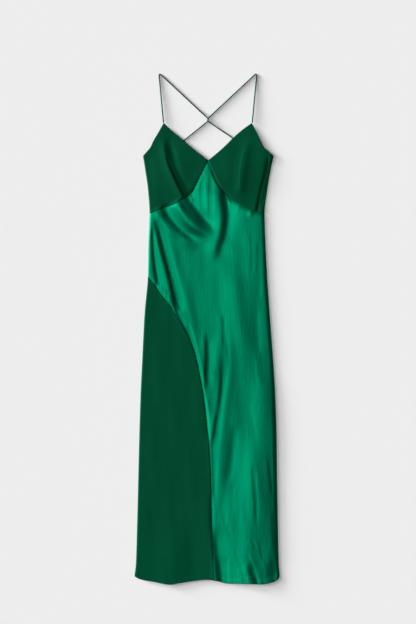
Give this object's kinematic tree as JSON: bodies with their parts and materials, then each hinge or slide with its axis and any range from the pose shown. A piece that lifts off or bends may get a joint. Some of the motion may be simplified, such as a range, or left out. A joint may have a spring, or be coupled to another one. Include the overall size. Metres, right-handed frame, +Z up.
{
  "type": "slip dress",
  "caption": "Long bias-cut slip dress laid flat, front up, with a V neck, seamed cups, a curved skirt panel and thin straps that cross at the back.",
  "frame": {"origin": "on the surface the dress lies on, under the middle of its outline from the strap tops to the hem", "axes": "+Y from the hem towards the straps, +X to the right as the front is seen, +Z up out of the front of the cloth"},
  "size_m": [0.4069, 1.4297, 0.0115],
  "materials": {
    "satin": "glossy emerald satin with a soft sheen",
    "crepe": "matte dark green crepe"
  },
  "bodies": {
    "root": {"cup_left": "crepe", "cup_right": "crepe", "satin_front": "satin", "crepe_skirt": "crepe", "back": "satin", "strap_left": "crepe", "strap_right": "crepe"}
  },
  "joints": []
}
